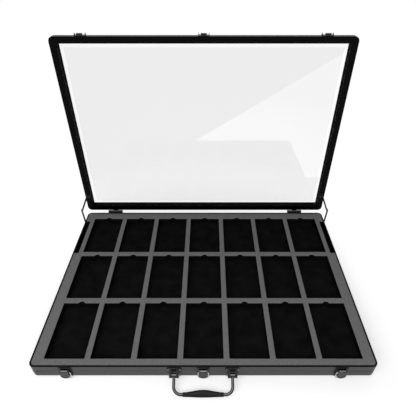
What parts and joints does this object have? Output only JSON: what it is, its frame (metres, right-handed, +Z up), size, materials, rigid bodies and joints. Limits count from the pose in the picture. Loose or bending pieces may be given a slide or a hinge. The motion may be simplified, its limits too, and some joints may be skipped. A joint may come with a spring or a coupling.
{
  "type": "graded card display case",
  "caption": "Slim aluminium display case with cut foam slots for card slabs, a hinged window lid, folding stays, draw latches and a carry handle.",
  "frame": {"origin": "centre of the bottom panel's underside", "axes": "+X to the right along the case's longest side, +Y to the hinge side, +Z up"},
  "size_m": [0.73, 0.5925, 0.5577],
  "materials": {
    "base_aluminium": "satin dark grey anodised extrusion",
    "lid_aluminium": "satin black anodised extrusion",
    "bottom_sheet": "fine textured sheet",
    "tray_foam": "cut closed cell foam",
    "underlay_foam": "closed cell foam skin",
    "foot_rubber": "matte",
    "gasket_rubber": "matte",
    "window_glass": "polished",
    "grip_rubber": "soft moulded grip",
    "rod_steel": "polished",
    "loop_wire": "polished",
    "lever_steel": "satin",
    "stay_steel": "satin",
    "fastener_steel": "satin",
    "black_hardware": "satin black enamel"
  },
  "bodies": {
    "base": {"base_front_rail": "base_aluminium", "base_rear_rail": "base_aluminium", "base_left_rail": "base_aluminium", "base_right_rail": "base_aluminium", "base_corners": "base_aluminium", "bottom_panel": "bottom_sheet", "foam_underlay": "underlay_foam", "foam_tray": "tray_foam", "rubber_feet": "foot_rubber", "foot_screws": "fastener_steel", "hinge_base_leaf_left": "black_hardware", "hinge_base_leaf_right": "black_hardware", "hinge_pin_left": "fastener_steel", "hinge_pin_right": "fastener_steel", "hinge_base_screws": "fastener_steel", "stay_base_bracket_left": "black_hardware", "stay_base_bracket_right": "black_hardware", "latch_plate_left": "black_hardware", "latch_plate_centre": "black_hardware", "latch_plate_right": "black_hardware", "latch_pins": "fastener_steel", "latch_plate_rivets": "fastener_steel", "handle_bracket_left": "black_hardware", "handle_bracket_right": "black_hardware", "handle_pins": "fastener_steel", "handle_bracket_screws": "fastener_steel"},
    "lid": {"lid_front_rail": "lid_aluminium", "lid_rear_rail": "lid_aluminium", "lid_left_rail": "lid_aluminium", "lid_right_rail": "lid_aluminium", "lid_corners": "lid_aluminium", "window_pane": "window_glass", "window_gasket": "gasket_rubber", "hinge_lid_leaf_left": "black_hardware", "hinge_lid_leaf_right": "black_hardware", "hinge_lid_screws": "fastener_steel", "stay_lid_bracket_left": "black_hardware", "stay_lid_bracket_right": "black_hardware", "latch_strike_left": "black_hardware", "latch_strike_centre": "black_hardware", "latch_strike_right": "black_hardware", "strike_rivets": "fastener_steel"},
    "handle": {"handle_bail": "rod_steel", "handle_grip": "grip_rubber"},
    "stay_lower_left": {"stay_lower_link_left": "stay_steel", "stay_elbow_rivet_left": "fastener_steel"},
    "stay_upper_left": {"stay_upper_link_left": "stay_steel"},
    "stay_lower_right": {"stay_lower_link_right": "stay_steel", "stay_elbow_rivet_right": "fastener_steel"},
    "stay_upper_right": {"stay_upper_link_right": "stay_steel"},
    "lever_left": {"latch_lever_left": "lever_steel"},
    "loop_left": {"latch_loop_left": "loop_wire"},
    "lever_centre": {"latch_lever_centre": "lever_steel"},
    "loop_centre": {"latch_loop_centre": "loop_wire"},
    "lever_right": {"latch_lever_right": "lever_steel"},
    "loop_right": {"latch_loop_right": "loop_wire"}
  },
  "joints": [
    {"name": "lid_hinge", "type": "hinge", "parent": "base", "child": "lid", "pos_m": [0, 0.2579, 0.0372], "axis": [-1, 0, 0], "range_deg": [-92, 0]},
    {"name": "handle_swing", "type": "hinge", "parent": "base", "child": "handle", "pos_m": [0, -0.261, 0.0172], "axis": [-1, 0, 0], "range_deg": [0, 105]},
    {"name": "stay_lower_left_pivot", "type": "hinge", "parent": "base", "child": "stay_lower_left", "pos_m": [-0.3603, 0.2019, 0.0292], "axis": [-1, 0, 0], "range_deg": [-92, 0]},
    {"name": "stay_upper_left_pivot", "type": "hinge", "parent": "lid", "child": "stay_upper_left", "pos_m": [-0.3583, 0.25303, 0.09841], "axis": [-1, 0, 0], "range_deg": [0, 92]},
    {"name": "stay_lower_right_pivot", "type": "hinge", "parent": "base", "child": "stay_lower_right", "pos_m": [0.3603, 0.2019, 0.0292], "axis": [-1, 0, 0], "range_deg": [-92, 0]},
    {"name": "stay_upper_right_pivot", "type": "hinge", "parent": "lid", "child": "stay_upper_right", "pos_m": [0.3583, 0.25303, 0.09841], "axis": [-1, 0, 0], "range_deg": [0, 92]},
    {"name": "lever_left_pivot", "type": "hinge", "parent": "base", "child": "lever_left", "pos_m": [-0.29, -0.2571, 0.0267], "axis": [1, 0, 0], "range_deg": [-100, 0]},
    {"name": "loop_left_pivot", "type": "hinge", "parent": "lever_left", "child": "loop_left", "pos_m": [-0.29, -0.2568, 0.0202], "axis": [-1, 0, 0], "range_deg": [0, 183.7]},
    {"name": "lever_centre_pivot", "type": "hinge", "parent": "base", "child": "lever_centre", "pos_m": [0, -0.2571, 0.0267], "axis": [1, 0, 0], "range_deg": [-100, 0]},
    {"name": "loop_centre_pivot", "type": "hinge", "parent": "lever_centre", "child": "loop_centre", "pos_m": [0, -0.2568, 0.0202], "axis": [-1, 0, 0], "range_deg": [0, 183.7]},
    {"name": "lever_right_pivot", "type": "hinge", "parent": "base", "child": "lever_right", "pos_m": [0.29, -0.2571, 0.0267], "axis": [1, 0, 0], "range_deg": [-100, 0]},
    {"name": "loop_right_pivot", "type": "hinge", "parent": "lever_right", "child": "loop_right", "pos_m": [0.29, -0.2568, 0.0202], "axis": [-1, 0, 0], "range_deg": [0, 183.7]}
  ],
  "couplings": [
    {"joint": "stay_lower_left_pivot", "follows": "lid_hinge", "ratio": 1},
    {"joint": "stay_upper_left_pivot", "follows": "lid_hinge", "ratio": -1},
    {"joint": "stay_lower_right_pivot", "follows": "lid_hinge", "ratio": 1},
    {"joint": "stay_upper_right_pivot", "follows": "lid_hinge", "ratio": -1}
  ]
}
